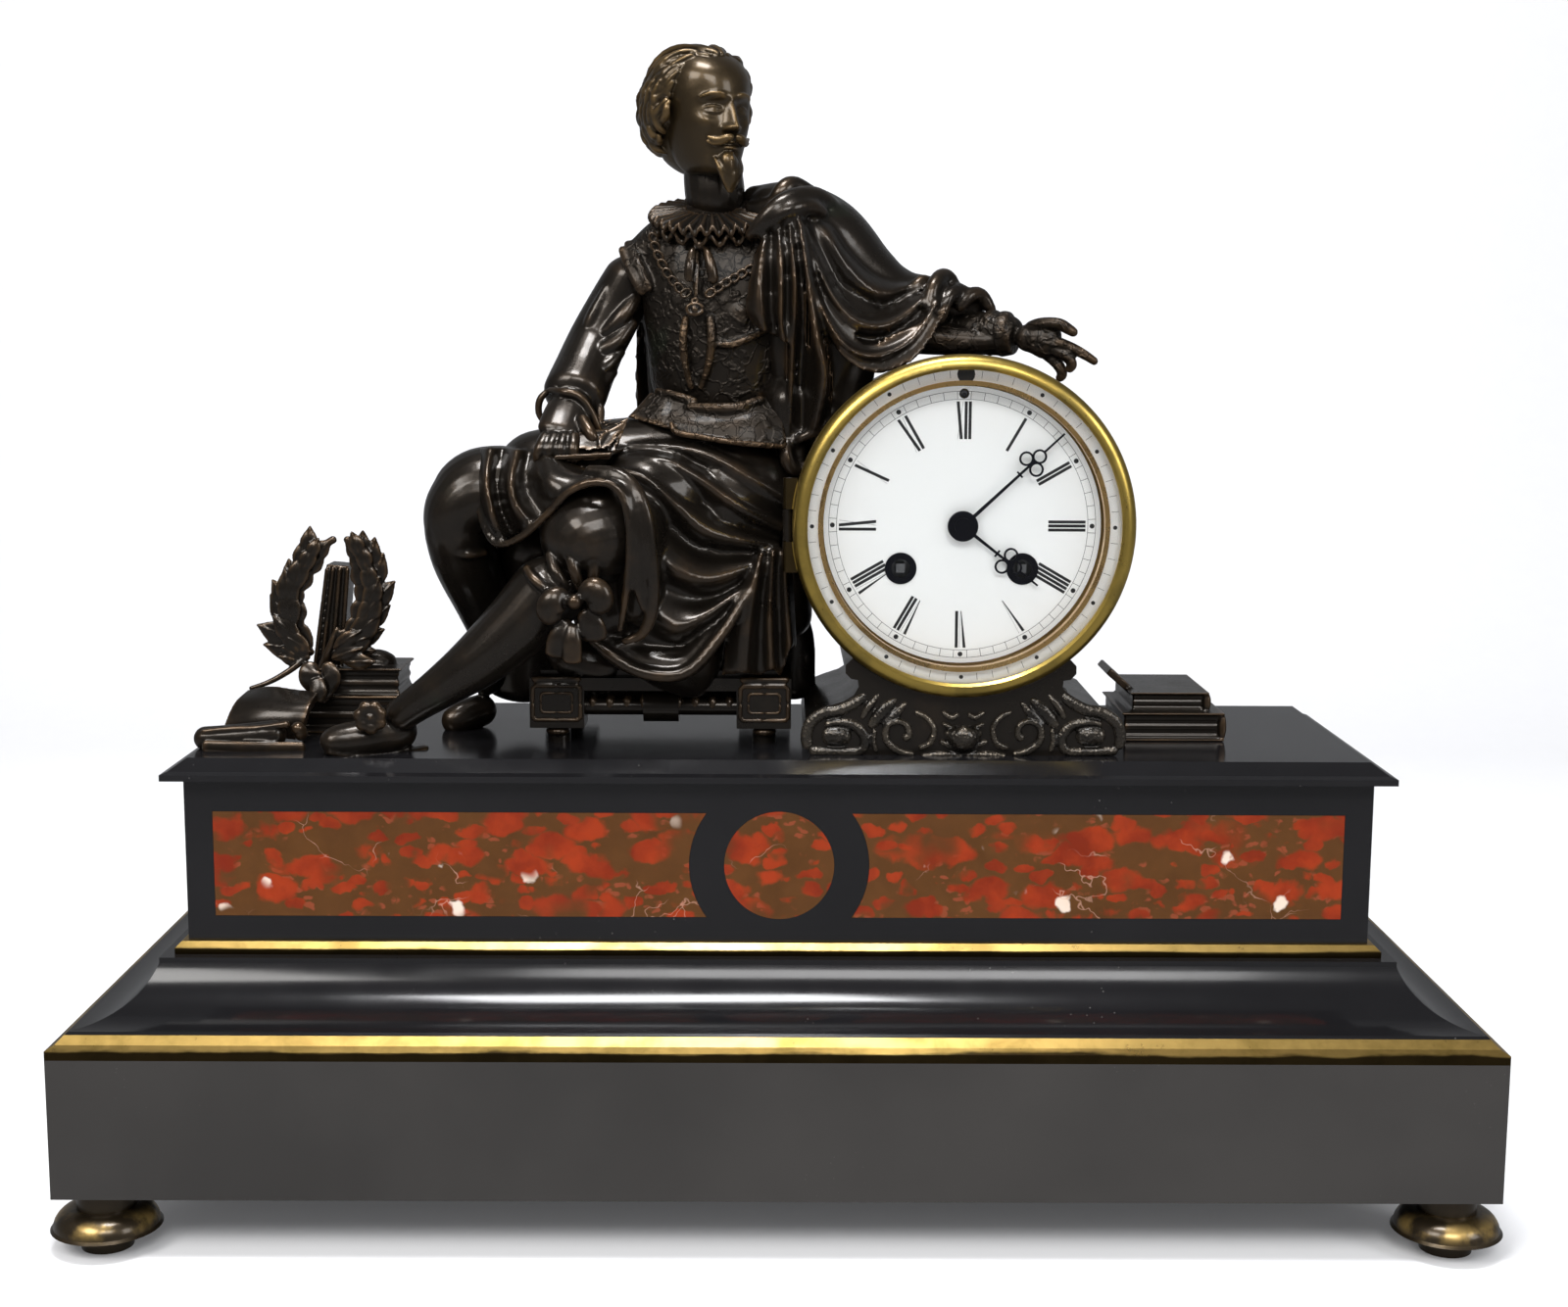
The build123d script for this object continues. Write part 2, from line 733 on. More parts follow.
# Movement: plate positions and the places of the arbors, measured from the dial centre
front_plate_back = front_plate_front + plate_thickness
back_plate_front = front_plate_back + plate_spacing
back_plate_back = back_plate_front + plate_thickness
barrel_distance = hypot(winding_x, winding_drop)
barrel_module = 2 * barrel_distance / (barrel_teeth + centre_pinion_teeth)
third_distance = train_module * (centre_wheel_teeth + third_pinion_teeth) / 2
escape_distance = train_module * (third_wheel_teeth + escape_pinion_teeth) / 2
third_angle = 60
third_x = third_distance * cos(radians(third_angle))
third_z = third_distance * sin(radians(third_angle))
escape_z = third_z + sqrt(escape_distance**2 - third_x**2)
minute_wheel_module = 2 * motion_distance / (cannon_teeth + minute_wheel_teeth)
hour_wheel_module = 2 * motion_distance / (minute_pinion_teeth + hour_wheel_teeth)
going_place, strike_place = winding_places
plate_hole = pivot_radius + pivot_clearance
arbor_hole = arbor_radius + pivot_clearance
winding_arbor_hole = winding_arbor_radius + pivot_clearance
stud_radius = 1.0
block_half_width = 7.0
block_low = 47.0
block_high = 53.6
cheek_low = 41.6
cheek_thickness = 1.5
cheek_gap = 5.0
cock_back = pendulum_y + cheek_gap / 2 + cheek_thickness


def gear_outline(place, teeth, module, phase):
    """Straight-flanked teeth on a pitch circle round a place; phase is the angle of one tooth's middle."""
    addendum_share, dedendum_share = 0.9, 1.2
    root_share, tip_share = 0.31, 0.12
    pitch_radius = module * teeth / 2
    tip = pitch_radius + addendum_share * module
    root = pitch_radius - dedendum_share * module
    step = 360 / teeth
    points = []
    for tooth in range(teeth):
        middle = phase + tooth * step
        for radius, share in ((root, -root_share), (tip, -tip_share), (tip, tip_share), (root, root_share)):
            angle = radians(middle + share * step)
            points.append((place[0] + radius * cos(angle), place[1] + radius * sin(angle)))
    Polyline(*points, close=True)


def wheel_face(place, back, teeth, module, phase, bore):
    """The toothed face of a wheel at a place from the dial centre, in the plane at the depth back."""
    with BuildSketch(front_plane(back), mode=Mode.PRIVATE) as face:
        with BuildLine():
            gear_outline(place, teeth, module, phase)
        make_face()
        if bore > 0:
            with Locations(place):
                Circle(bore, mode=Mode.SUBTRACT)
    return face.sketch


def round_face(place, back, radius, bore=0):
    """A round face at a place from the dial centre, in the plane at the depth back."""
    with BuildSketch(front_plane(back), mode=Mode.PRIVATE) as face:
        with Locations(place):
            Circle(radius)
            if bore > 0:
                Circle(bore, mode=Mode.SUBTRACT)
    return face.sketch


plate_arbors = [(third_x, third_z), (0, escape_z), (0, anchor_rise), (hammer_x, hammer_z)]
pillar_places = [(pillar_circle * cos(radians(a)), pillar_circle * sin(radians(a))) for a in pillar_angles]
minute_stud_gap = 0.6
with BuildPart() as front_plate:
    extrude(round_face((0, 0), front_plate_back, plate_radius, arbor_hole), amount=plate_thickness)
    for place in plate_arbors:
        extrude(round_face(place, front_plate_back, plate_hole), amount=plate_thickness, mode=Mode.SUBTRACT)
    for place in winding_places:
        extrude(
            round_face(place, front_plate_back, winding_arbor_hole),
            amount=plate_thickness,
            mode=Mode.SUBTRACT,
        )
    regulator_place = (0, regulator_rise)
    extrude(
        round_face(regulator_place, front_plate_back, arbor_hole),
        amount=plate_thickness,
        mode=Mode.SUBTRACT,
    )
    minute_stud_length = front_plate_front - pan_back - minute_stud_gap
    extrude(round_face((0, -motion_distance), front_plate_front, stud_radius), amount=minute_stud_length)
    for place in pillar_places:
        extrude(round_face(place, back_plate_front, pillar_radius), amount=plate_spacing)
finish(front_plate, "front_plate")

with BuildPart() as back_plate:
    extrude(round_face((0, 0), back_plate_back, plate_radius, plate_hole), amount=plate_thickness)
    for place in plate_arbors:
        extrude(round_face(place, back_plate_back, plate_hole), amount=plate_thickness, mode=Mode.SUBTRACT)
    for place in winding_places:
        extrude(round_face(place, back_plate_back, arbor_hole), amount=plate_thickness, mode=Mode.SUBTRACT)
    with BuildSketch(front_plane(cock_back)):
        with Locations((0, (block_low + block_high) / 2)):
            Rectangle(2 * block_half_width, block_high - block_low)
    extrude(amount=cock_back - back_plate_back)
    for back in (cock_back, cock_back - cheek_thickness - cheek_gap):
        with BuildSketch(front_plane(back)):
            with Locations((0, (cheek_low + block_low) / 2)):
                Rectangle(2 * block_half_width, block_low - cheek_low)
        extrude(amount=cheek_thickness)
    extrude(
        round_face((0, anchor_rise), cock_back + overrun, arbor_hole),
        amount=cock_back + overrun - back_plate_back,
        mode=Mode.SUBTRACT,
    )
    extrude(
        round_face(regulator_place, cock_back + overrun, arbor_hole),
        amount=cock_back + 2 * overrun - back_plate_front,
        mode=Mode.SUBTRACT,
    )
finish(back_plate, "back_plate")

# Barrels with their great wheels, and the winding arbors that pass through them to the dial
great_wheel_gap = 2.5
going_wheel_back = back_plate_front - great_wheel_gap
strike_wheel_back = front_plate_back + great_wheel_gap + 2 * wheel_thickness
barrel_arbor_fit = 0.08
half_tooth = 180 / barrel_teeth
for name, place, back, side in (
    ("going_barrel", going_place, going_wheel_back, 1),
    ("strike_barrel", strike_place, strike_wheel_back, -1),
):
    bore = winding_arbor_radius + barrel_arbor_fit
    with BuildPart() as barrel:
        towards_centre = degrees(atan2(-place[1], -place[0]))
        extrude(
            wheel_face(place, back, barrel_teeth, barrel_module, towards_centre + half_tooth, bore),
            amount=wheel_thickness,
        )
        drum_back_face = back - wheel_thickness if side > 0 else back + barrel_length
        extrude(round_face(place, drum_back_face, barrel_radius, bore), amount=barrel_length)
    finish(barrel, name)

ratchet_teeth = 14
ratchet_module = 0.9
ratchet_gap = 1.2
ratchet_thickness = 1.4
square_front = dial_front + overrun
square_back = front_plate_front - ratchet_gap - ratchet_thickness
square_half_diagonal = winding_square / sqrt(2)
for name, place in (("going_winding_arbor", going_place), ("strike_winding_arbor", strike_place)):
    with BuildPart() as winding_arbor:
        extrude(
            round_face(place, back_plate_front, winding_arbor_radius),
            amount=back_plate_front - square_back,
        )
        extrude(round_face(place, back_plate_back, arbor_radius), amount=plate_thickness)
        extrude(
            wheel_face(place, front_plate_front - ratchet_gap, ratchet_teeth, ratchet_module, 0, 0),
            amount=ratchet_thickness,
        )
        with BuildSketch(front_plane(square_back)):
            with Locations(place):
                Rectangle(winding_square, winding_square)
        extrude(amount=square_back - square_front)
    finish(winding_arbor, name)

# Going train from the centre arbor to the escape wheel
arbor_end_gap = 0.2
cannon_radius = 2.3
cannon_front = minute_hand_back - hand_thickness
centre_wheel_back = front_plate_back + great_wheel_gap
pinion_phase = degrees(atan2(-winding_drop, -winding_x))
centre_pinion_back = going_wheel_back + wheel_thickness
centre_arbor_back = back_plate_front - arbor_end_gap


with BuildPart() as centre_wheel:
    extrude(round_face((0, 0), centre_arbor_back, arbor_radius), amount=centre_arbor_back - cannon_front)
    extrude(round_face((0, 0), back_plate_back, pivot_radius), amount=plate_thickness + arbor_end_gap)
    extrude(
        wheel_face((0, 0), centre_pinion_back, centre_pinion_teeth, barrel_module, pinion_phase, 0),
        amount=3 * wheel_thickness,
    )
    extrude(
        wheel_face((0, 0), centre_wheel_back, centre_wheel_teeth, train_module, third_angle, 0),
        amount=wheel_thickness,
    )
finish(centre_wheel, "centre_wheel")


def between_plates(place):
    """The three round sections of an arbor: its body and its two pivots, each with its length."""
    body_back = back_plate_front - arbor_end_gap
    return (
        (round_face(place, body_back, arbor_radius), plate_spacing - 2 * arbor_end_gap),
        (round_face(place, back_plate_back, pivot_radius), plate_thickness + arbor_end_gap),
        (round_face(place, front_plate_back + arbor_end_gap, pivot_radius), plate_thickness + arbor_end_gap),
    )


third_place = (third_x, third_z)
escape_place = (0, escape_z)
third_to_escape = degrees(atan2(escape_z - third_z, -third_x))
third_wheel_back = -6.5
escape_wheel_back = -18.0
with BuildPart() as third_wheel:
    for section, length in between_plates(third_place):
        extrude(section, amount=length)
    extrude(
        wheel_face(
            third_place,
            centre_wheel_back + wheel_thickness,
            third_pinion_teeth,
            train_module,
            third_angle + 180 + 180 / third_pinion_teeth,
            0,
        ),
        amount=2 * wheel_thickness + overrun,
    )
    extrude(
        wheel_face(third_place, third_wheel_back, third_wheel_teeth, train_module, third_to_escape, 0),
        amount=wheel_thickness,
    )
finish(third_wheel, "third_wheel")

escape_module = 2 * escape_wheel_radius / escape_teeth
with BuildPart() as escape_wheel:
    for section, length in between_plates(escape_place):
        extrude(section, amount=length)
    extrude(
        wheel_face(
            escape_place,
            third_wheel_back + wheel_thickness,
            escape_pinion_teeth,
            train_module,
            third_to_escape + 180 + 180 / escape_pinion_teeth,
            0,
        ),
        amount=3 * wheel_thickness,
    )
    extrude(
        wheel_face(escape_place, escape_wheel_back, escape_teeth, escape_module, 0, 0),
        amount=wheel_thickness / 2,
    )
finish(escape_wheel, "escape_wheel")

# Anchor with its two pallets, and the crutch that reaches down behind the back plate to the pendulum rod
pallet_clearance = 0.5
pallet_radius = 0.9
pallet_angle = 52
anchor_arm_width = 2.4
crutch_thickness = 1.2
crutch_length = 26.0
crutch_prong = 0.8
crutch_gap = 0.4
pallet_circle = escape_wheel_radius + escape_module + pallet_clearance + pallet_radius
prong_x = pendulum_rod_radius + crutch_gap + crutch_prong / 2
pallet_places = [
    (side * pallet_circle * sin(radians(pallet_angle)), escape_z + pallet_circle * cos(radians(pallet_angle)))
    for side in (-1, 1)
]
crutch_back = back_plate_back + arbor_end_gap + crutch_thickness
prong_back = pendulum_y + pendulum_rod_radius
with BuildPart() as anchor:
    for section, length in between_plates((0, anchor_rise)):
        extrude(section, amount=length)
    extrude(round_face((0, anchor_rise), crutch_back, pivot_radius), amount=crutch_back - back_plate_back)
    anchor_back = escape_wheel_back + wheel_thickness / 2
    with BuildSketch(front_plane(anchor_back)):
        for place in pallet_places:
            with BuildLine():
                Line(place, (0, anchor_rise))
            trace(line_width=anchor_arm_width)
            with Locations(place):
                Circle(anchor_arm_width / 2)
        with Locations((0, anchor_rise)):
            Circle(anchor_arm_width)
    extrude(amount=-wheel_thickness / 2)
    for place in pallet_places:
        extrude(round_face(place, anchor_back, pallet_radius), amount=2 * wheel_thickness)
    with BuildSketch(front_plane(crutch_back)):
        with Locations((0, anchor_rise - crutch_length / 2)):
            Rectangle(anchor_arm_width, crutch_length)
        with Locations((0, anchor_rise)):
            Circle(anchor_arm_width)
        with Locations((0, anchor_rise - crutch_length)):
            Rectangle(2 * (pendulum_rod_radius + crutch_gap + crutch_prong), anchor_arm_width)
    extrude(amount=crutch_thickness)
    with BuildSketch(front_plane(prong_back)):
        for side in (-1, 1):
            with Locations((side * prong_x, anchor_rise - crutch_length)):
                Rectangle(crutch_prong, anchor_arm_width)
    extrude(amount=prong_back - crutch_back)
finish(anchor, "anchor")

# Pendulum: a pin in the cheeks of the cock, the rod and the bob
pendulum_pin_length = cheek_gap + 2 * cheek_thickness
with BuildPart() as pendulum:
    extrude(round_face((0, anchor_rise), cock_back, arbor_radius), amount=pendulum_pin_length)
    with BuildSketch(Plane.XY.offset(drum_z + anchor_rise)):
        with Locations((drum_x, pendulum_y)):
            Circle(pendulum_rod_radius)
    extrude(amount=-(anchor_rise + pendulum_drop))
    extrude(round_face((0, -pendulum_drop), pendulum_y + bob_thickness / 2, bob_radius), amount=bob_thickness)
    chamfer(pendulum.edges().filter_by(GeomType.CIRCLE).sort_by(SortBy.RADIUS)[-2:], bob_edge)
finish(pendulum, "pendulum")

regulator_front = dial_front + dial_thickness / 2
with BuildPart() as regulating_arbor:
    extrude(round_face(regulator_place, cock_back, arbor_radius), amount=cock_back - regulator_front)
finish(regulating_arbor, "regulating_arbor")

# Motion work: cannon pinion, minute wheel with its pinion, and the hour wheel with its pipe
motion_gap = 0.4
cannon_back = front_plate_front - motion_gap
cannon_wheel_height = 2.0
hour_pipe_bore = 2.4
hour_pipe_radius = 3.4
hour_wheel_thickness = 1.2
minute_pinion_height = 3.4
down = -90
with BuildPart() as cannon_pinion:
    extrude(round_face((0, 0), cannon_back, cannon_radius, arbor_radius), amount=cannon_back - cannon_front)
    extrude(
        wheel_face((0, 0), cannon_back, cannon_teeth, minute_wheel_module, down, arbor_radius),
        amount=cannon_wheel_height,
    )
finish(cannon_pinion, "cannon_pinion")

minute_place = (0, -motion_distance)
stud_bore = stud_radius + pivot_clearance
minute_front = cannon_back - motion_gap - wheel_thickness
with BuildPart() as minute_wheel:
    extrude(
        wheel_face(
            minute_place,
            cannon_back - motion_gap,
            minute_wheel_teeth,
            minute_wheel_module,
            90 + 180 / minute_wheel_teeth,
            stud_bore,
        ),
        amount=wheel_thickness,
    )
    extrude(
        wheel_face(minute_place, minute_front, minute_pinion_teeth, hour_wheel_module, 90, stud_bore),
        amount=minute_pinion_height,
    )
finish(minute_wheel, "minute_wheel")

hour_wheel_back = minute_front - motion_gap - hour_wheel_thickness / 2
with BuildPart() as hour_wheel:
    extrude(
        wheel_face(
            (0, 0),
            hour_wheel_back,
            hour_wheel_teeth,
            hour_wheel_module,
            down + 180 / hour_wheel_teeth,
            hour_pipe_bore,
        ),
        amount=hour_wheel_thickness,
    )
    extrude(
        round_face((0, 0), hour_wheel_back, hour_pipe_radius, hour_pipe_bore),
        amount=hour_wheel_back - hour_hand_back,
    )
finish(hour_wheel, "hour_wheel")


def hand_face(back, angle, length, ring_share, collar_share, boss, bore):
    """A trefoil hand: a tapered blade, three rings near the tip, a collar and a round boss."""
    with BuildSketch(front_plane(back), mode=Mode.PRIVATE) as face:
        with Locations(Rotation(0, 0, -angle)):
            with BuildSketch(mode=Mode.PRIVATE) as blade:
                with BuildLine():
                    Polyline(
                        (-hand_width / 2, 0),
                        (hand_width / 2, 0),
                        (hand_width / 3, collar_share * length),
                        (hand_width / 4, length),
                        (-hand_width / 4, length),
                        (-hand_width / 3, collar_share * length),
                        close=True,
                    )
                make_face()
            add(blade.sketch)
            ring_centre = ring_share * length
            ring_places = [
                (0, ring_centre + hand_ring_radius),
                (-hand_ring_radius, ring_centre - hand_ring_radius / 2),
                (hand_ring_radius, ring_centre - hand_ring_radius / 2),
            ]
            with Locations(*ring_places):
                Circle(hand_ring_radius)
            with Locations(*ring_places):
                Circle(hand_ring_bore, mode=Mode.SUBTRACT)
            with Locations((0, collar_share * length)):
                Rectangle(2 * hand_width, hand_width / 2)
            Circle(boss)
            Circle(bore, mode=Mode.SUBTRACT)
    return face.sketch


hand_ring_share_minute = 0.70
hand_collar_share_minute = 0.56
hand_ring_share_hour = 0.62
hand_collar_share_hour = 0.46
with BuildPart() as minute_hand:
    extrude(
        hand_face(
            minute_hand_back,
            hand_angle_minute,
            minute_hand_length,
            hand_ring_share_minute,
            hand_collar_share_minute,
            hand_boss_radius,
            cannon_radius,
        ),
        amount=hand_thickness,
    )
finish(minute_hand, "minute_hand")

with BuildPart() as hour_hand:
    extrude(
        hand_face(
            hour_hand_back,
            hand_angle_hour,
            hour_hand_length,
            hand_ring_share_hour,
            hand_collar_share_hour,
            hand_boss_radius,
            hour_pipe_bore,
        ),
        amount=hand_thickness,
    )
finish(hour_hand, "hour_hand")

collet_length = 1.0
with BuildPart() as hand_collet:
    extrude(round_face((0, 0), cannon_front, cannon_radius + overrun), amount=collet_length)
finish(hand_collet, "hand_collet")

# Bell on its post behind the plate, and the hammer beside it
bell_post_radius = 2.0
bell_nut_length = 2.0
bell_back = bell_front + bell_depth
with BuildPart() as bell:
    with BuildSketch(Plane(origin=(drum_x + bell_x, 0, drum_z + bell_z), x_dir=(1, 0, 0), z_dir=(0, 0, 1))):
        with BuildLine():
            Line((bell_radius, bell_front), (bell_radius - bell_wall, bell_front))
            ThreePointArc(
                (bell_radius - bell_wall, bell_front),
                (bell_radius - bell_depth / 2, bell_back - bell_depth / 3 - bell_wall),
                (bell_radius / 3, bell_back - bell_wall),
            )
            Polyline(
                (bell_radius / 3, bell_back - bell_wall),
                (bell_post_radius, bell_back - bell_wall),
                (bell_post_radius, back_plate_back),
                (0, back_plate_back),
                (0, bell_back + bell_nut_length),
                (2 * bell_post_radius, bell_back + bell_nut_length),
                (2 * bell_post_radius, bell_back),
                (bell_radius / 3, bell_back),
            )
            ThreePointArc(
                (bell_radius / 3, bell_back),
                (bell_radius - bell_depth / 3, bell_back - bell_depth / 3),
                (bell_radius, bell_front),
            )
        make_face()
    revolve(axis=Axis((drum_x + bell_x, 0, drum_z + bell_z), (0, 1, 0)))
finish(bell, "bell")

hammer_head_radius = 2.6
hammer_head_length = 7.0
hammer_gap = 1.2
hammer_drop = 20.0
hammer_arm_width = 2.4
bell_chord = sqrt(bell_radius**2 - (hammer_z - hammer_drop - bell_z) ** 2)
hammer_head_x = bell_x + bell_chord + hammer_head_radius + hammer_gap
hammer_back = back_plate_back + arbor_end_gap + crutch_thickness
with BuildPart() as hammer:
    for section, length in between_plates((hammer_x, hammer_z)):
        extrude(section, amount=length)
    extrude(round_face((hammer_x, hammer_z), hammer_back, pivot_radius), amount=hammer_back - back_plate_back)
    with BuildSketch(front_plane(hammer_back)):
        with BuildLine():
            Line((hammer_x, hammer_z), (hammer_head_x, hammer_z - hammer_drop))
        trace(line_width=hammer_arm_width)
        with Locations((hammer_x, hammer_z)):
            Circle(hammer_arm_width)
        with Locations((hammer_head_x, hammer_z - hammer_drop)):
            Circle(hammer_head_radius)
    extrude(amount=crutch_thickness)
    hammer_head_back = bell_front + hammer_head_length
    extrude(
        round_face((hammer_head_x, hammer_z - hammer_drop), hammer_head_back, hammer_head_radius),
        amount=hammer_head_back - hammer_back,
    )
finish(hammer, "hammer")

# The seated figure: castings lofted through sections, all placed by shares of the sitting height
waist_plug_share = 0.12
torso_shares = [
    (0.012, 0.02, 0.62, 0.145, 0.105, 0),
    (0.01, 0.015, 0.68, 0.135, 0.095, 2),
    (0.01, 0.0, 0.76, 0.145, 0.10, 5),
    (0.01, -0.01, 0.86, 0.17, 0.112, 9),
    (0.015, 0.0, 0.94, 0.175, 0.10, 12),
    (0.015, 0.012, 1.0, 0.12, 0.085, 8),
    (0.015, 0.02, 1.035, 0.075, 0.065, 0),
]
head_turn = 34
head_place_share = (-0.0225, -0.025)
head_shares = [
    (0.045, 1.12, 0.030, 0.036),
    (0.03, 1.15, 0.063, 0.069),
    (0.012, 1.19, 0.088, 0.099),
    (0.0, 1.245, 0.102, 0.119),
    (-0.005, 1.305, 0.106, 0.124),
    (-0.01, 1.356, 0.092, 0.108),
    (-0.012, 1.388, 0.052, 0.062),
]
neck_shares = [(0.012, 0.02, 1.035, 0.062), (-0.005, 0.005, 1.10, 0.060), (-0.02, -0.01, 1.18, 0.058)]
nose_shares = [(0.114, 1.25, 0.010), (0.132, 1.217, 0.014), (0.114, 1.203, 0.012)]
ruff_place_share = (0.02, -0.015, 0.995)
ruff_radius_share = 0.135
ruff_scallop_share = 0.008
ruff_height_share = 0.05
ruff_pleats = 26
ruff_tilt = 18
right_arm_shares = [
    (-0.115, 0.01, 0.95, 0.062),
    (-0.195, 0.02, 0.87, 0.060),
    (-0.25, 0.028, 0.795, 0.056),
    (-0.276, 0.005, 0.735, 0.054),
    (-0.278, -0.055, 0.71, 0.054),
    (-0.272, -0.125, 0.68, 0.057),
]
right_hand_shares = [(-0.272, -0.12, 0.682, 0.036), (-0.285, -0.20, 0.605, 0.042),
                     (-0.27, -0.235, 0.53, 0.030)]
left_forearm_shares = [(0.47, 0.04, 0.847, 0.055), (0.54, 0.0, 0.827, 0.052), (0.595, -0.04, 0.807, 0.047)]
left_hand_shares = [(0.595, -0.04, 0.807, 0.030), (0.65, -0.06, 0.793, 0.036), (0.70, -0.066, 0.772, 0.028)]
index_finger_shares = [(0.69, -0.068, 0.78, 0.013), (0.735, -0.072, 0.763, 0.011),
                       (0.77, -0.075, 0.747, 0.008)]
drooped_finger_shares = [(0.69, -0.055, 0.768, 0.018), (0.71, -0.06, 0.745, 0.016),
                         (0.712, -0.06, 0.72, 0.012)]
mantle_shares = [
    (0.11, 0.02, 1.017, 0.06, 0.05),
    (0.18, 0.03, 0.947, 0.09, 0.14),
    (0.26, 0.03, 0.867, 0.10, 0.165),
    (0.34, 0.03, 0.822, 0.095, 0.125),
    (0.41, 0.03, 0.832, 0.085, 0.08),
    (0.47, 0.03, 0.847, 0.075, 0.07),
    (0.54, 0.015, 0.827, 0.055, 0.055),
]
front_fall_shares = [
    (0.13, -0.06, 1.017, 0.045, 0.04, 0),
    (0.16, -0.085, 0.887, 0.07, 0.045, 0),
    (0.19, -0.08, 0.737, 0.07, 0.05, 0),
    (0.21, -0.07, 0.587, 0.055, 0.055, 0),
    (0.22, -0.06, 0.477, 0.03, 0.03, 0),
]
back_fall_shares = [
    (0.11, 0.12, 1.012, 0.15, 0.03, 0),
    (0.13, 0.16, 0.787, 0.18, 0.045, 0),
    (0.12, 0.18, 0.537, 0.20, 0.045, 0),
    (0.10, 0.19, 0.287, 0.22, 0.045, 0),
    (0.09, 0.20, 0.145, 0.23, 0.04, 0),
]
skirt_shares = [
    (0.17, 0.05, 0.345, 0.14, 0.21),
    (0.05, 0.01, 0.355, 0.195, 0.25),
    (-0.075, -0.03, 0.355, 0.215, 0.24),
    (-0.18, -0.11, 0.385, 0.175, 0.19),
    (-0.235, -0.12, 0.42, 0.14, 0.14),
]
right_thigh_cloth_shares = [(-0.10, -0.05, 0.50, 0.105), (-0.25, -0.09, 0.51, 0.10),
                            (-0.395, -0.13, 0.50, 0.098)]
left_thigh_cloth_shares = [(-0.05, -0.12, 0.46, 0.12), (-0.17, -0.19, 0.455, 0.108),
                           (-0.235, -0.225, 0.44, 0.10)]
right_knee_shares = [(-0.36, -0.12, 0.505, 0.082), (-0.42, -0.137, 0.502, 0.080),
                     (-0.458, -0.146, 0.50, 0.076)]
right_shin_shares = [
    (-0.46, -0.14, 0.487, 0.073),
    (-0.42, -0.07, 0.312, 0.062),
    (-0.405, 0.0, 0.162, 0.042),
    (-0.40, 0.025, 0.055, 0.033),
]
left_knee_shares = [(-0.19, -0.20, 0.44, 0.085), (-0.225, -0.23, 0.426, 0.084), (-0.25, -0.24, 0.412, 0.082)]
left_shin_shares = [
    (-0.255, -0.24, 0.40, 0.079),
    (-0.31, -0.247, 0.335, 0.065),
    (-0.41, -0.25, 0.25, 0.057),
    (-0.51, -0.245, 0.155, 0.040),
    (-0.575, -0.24, 0.085, 0.033),
]
left_shoe_shares = [
    (-0.52, -0.205, 0.032, 0.028, 0.032),
    (-0.595, -0.24, 0.05, 0.034, 0.05),
    (-0.67, -0.265, 0.03, 0.037, 0.03),
    (-0.755, -0.275, 0.018, 0.018, 0.018),
]
right_shoe_shares = [
    (-0.38, 0.045, 0.032, 0.028, 0.032),
    (-0.44, 0.025, 0.045, 0.034, 0.045),
    (-0.495, 0.008, 0.03, 0.034, 0.03),
    (-0.55, -0.01, 0.018, 0.018, 0.018),
]
sitting = sitting_height
seat_high = 29.0


def spot(x_share, y_share, z_share):
    """A place of the figure, in the part's own frame."""
    return Vector(figure_x + x_share * sitting, figure_y + y_share * sitting, slab_top + z_share * sitting)


def level_loft(shares):
    """A solid lofted through near-level elliptical sections, each rolled about the viewing direction."""
    faces = []
    for x, y, z, half_width_share, half_depth_share, roll in shares:
        turn = radians(roll)
        plane = Plane(origin=spot(x, y, z), x_dir=(cos(turn), 0, sin(turn)), z_dir=(-sin(turn), 0, cos(turn)))
        with BuildSketch(plane) as section:
            Ellipse(half_width_share * sitting, half_depth_share * sitting)
        faces.append(section.sketch)
    return loft(faces, mode=Mode.PRIVATE)


def limb(shares):
    """A round limb lofted through its stations, each section square to the way the limb runs there."""
    places = [spot(*station[:3]) for station in shares]
    faces = []
    for index, station in enumerate(shares):
        ahead = places[min(index + 1, len(places) - 1)]
        behind = places[max(index - 1, 0)]
        with BuildSketch(Plane(origin=places[index], z_dir=ahead - behind)) as section:
            Circle(station[3] * sitting)
        faces.append(section.sketch)
    return loft(faces, mode=Mode.PRIVATE)


def ball(station):
    """A round knuckle at a station of a limb."""
    return Pos(spot(*station[:3])) * Sphere(station[3] * sitting, mode=Mode.PRIVATE)


def side_loft(shares):
    """A solid lofted along X through upright elliptical sections."""
    faces = []
    for x, y, z, half_depth_share, half_height_share in shares:
        with BuildSketch(Plane(origin=spot(x, y, z), x_dir=(0, 1, 0), z_dir=(1, 0, 0))) as section:
            Ellipse(half_depth_share * sitting, half_height_share * sitting)
        faces.append(section.sketch)
    return loft(faces, mode=Mode.PRIVATE)


def shoe(shares):
    """A shoe lofted from heel to toe through upright elliptical sections."""
    heel, toe = spot(*shares[0][:3]), spot(*shares[-1][:3])
    along = Vector(toe.X - heel.X, toe.Y - heel.Y, 0).normalized()
    across = Vector(-along.Y, along.X, 0)
    faces = []
    for x, y, z, half_width_share, half_height_share in shares:
        with BuildSketch(Plane(origin=spot(x, y, z), x_dir=across, z_dir=along)) as section:
            Ellipse(half_width_share * sitting, half_height_share * sitting)
        faces.append(section.sketch)
    return loft(faces, mode=Mode.PRIVATE)


